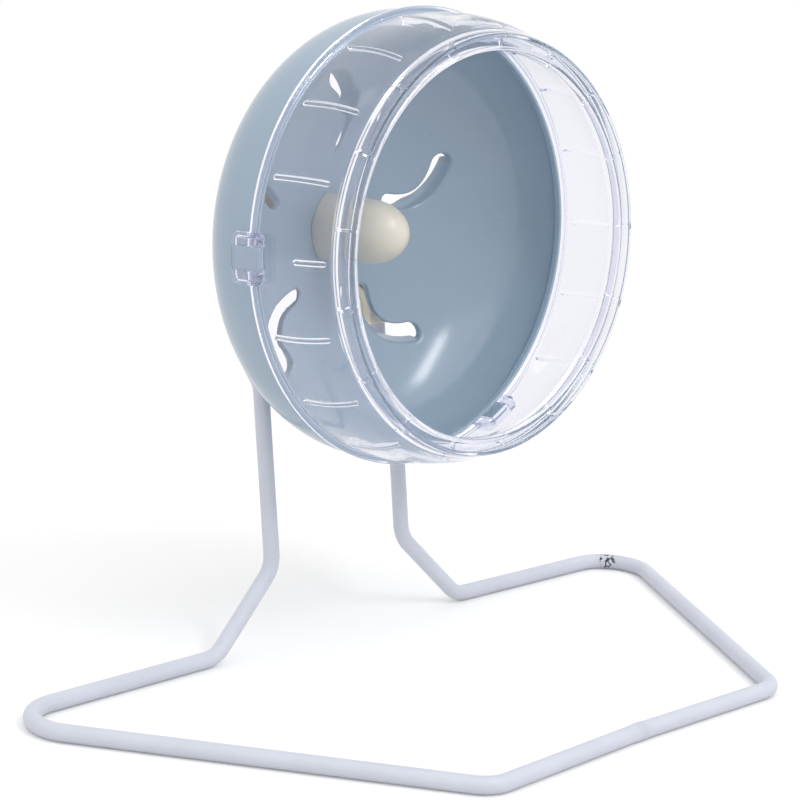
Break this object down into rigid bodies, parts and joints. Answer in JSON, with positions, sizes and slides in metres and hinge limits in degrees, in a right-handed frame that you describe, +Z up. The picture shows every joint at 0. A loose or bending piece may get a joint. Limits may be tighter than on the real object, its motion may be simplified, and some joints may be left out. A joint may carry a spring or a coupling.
{
  "type": "hamster wheel",
  "caption": "Running wheel for a small pet: slotted dish with a clear drum ring, on a bearing hub clamped to a free-standing bent rod stand.",
  "frame": {"origin": "on the floor under the middle of the whole object's box", "axes": "+Z up, -Y towards the wheel's open front, +X to the right as seen from the front"},
  "size_m": [0.3274, 0.1938, 0.2466],
  "materials": {
    "powder_coated_steel": "pale grey satin powder coat",
    "cream_plastic": "satin moulded cream plastic",
    "blue_grey_plastic": "glossy opaque blue-grey plastic",
    "clear_plastic": "clear polished plastic",
    "zinc_steel": "bright zinc plate",
    "bearing_steel": "ground bearing steel",
    "cage_plastic": "moulded nylon"
  },
  "bodies": {
    "stand": {"axle_bolt": "zinc_steel", "bearing_spacer": "zinc_steel", "bracket_front": "cream_plastic", "bracket_rear": "cream_plastic", "bracket_screw_1": "zinc_steel", "bracket_screw_2": "zinc_steel", "bracket_screw_3": "zinc_steel", "bracket_screw_4": "zinc_steel", "front_bearing_inner_ring": "bearing_steel", "front_washer": "zinc_steel", "lock_nut": "zinc_steel", "rear_bearing_inner_ring": "bearing_steel", "stand_frame": "powder_coated_steel", "thrust_washer": "zinc_steel"},
    "wheel": {"rear_dish": "blue_grey_plastic", "front_ring": "clear_plastic", "hub_cap": "cream_plastic", "front_bearing_front_shield": "bearing_steel", "front_bearing_outer_ring": "bearing_steel", "front_bearing_rear_shield": "bearing_steel", "rear_bearing_front_shield": "bearing_steel", "rear_bearing_outer_ring": "bearing_steel", "rear_bearing_rear_shield": "bearing_steel"},
    "rear_cage": {"rear_bearing_cage": "cage_plastic", "rear_bearing_ball_1": "bearing_steel", "rear_bearing_ball_2": "bearing_steel", "rear_bearing_ball_3": "bearing_steel", "rear_bearing_ball_4": "bearing_steel", "rear_bearing_ball_5": "bearing_steel", "rear_bearing_ball_6": "bearing_steel", "rear_bearing_ball_7": "bearing_steel"},
    "front_cage": {"front_bearing_cage": "cage_plastic", "front_bearing_ball_1": "bearing_steel", "front_bearing_ball_2": "bearing_steel", "front_bearing_ball_3": "bearing_steel", "front_bearing_ball_4": "bearing_steel", "front_bearing_ball_5": "bearing_steel", "front_bearing_ball_6": "bearing_steel", "front_bearing_ball_7": "bearing_steel"}
  },
  "joints": [
    {"name": "wheel_spin", "type": "hinge", "parent": "stand", "child": "wheel", "pos_m": [0, 0.02669, 0.1617], "axis": [0, -0.9987, 0.0506], "continuous": true},
    {"name": "rear_cage_spin", "type": "hinge", "parent": "stand", "child": "rear_cage", "pos_m": [0, 0.02669, 0.1617], "axis": [0, -0.9987, 0.0506], "continuous": true},
    {"name": "front_cage_spin", "type": "hinge", "parent": "stand", "child": "front_cage", "pos_m": [0, 0.02669, 0.1617], "axis": [0, -0.9987, 0.0506], "continuous": true}
  ],
  "couplings": [
    {"joint": "rear_cage_spin", "follows": "wheel_spin", "ratio": 0.6226},
    {"joint": "front_cage_spin", "follows": "wheel_spin", "ratio": 0.6226}
  ]
}
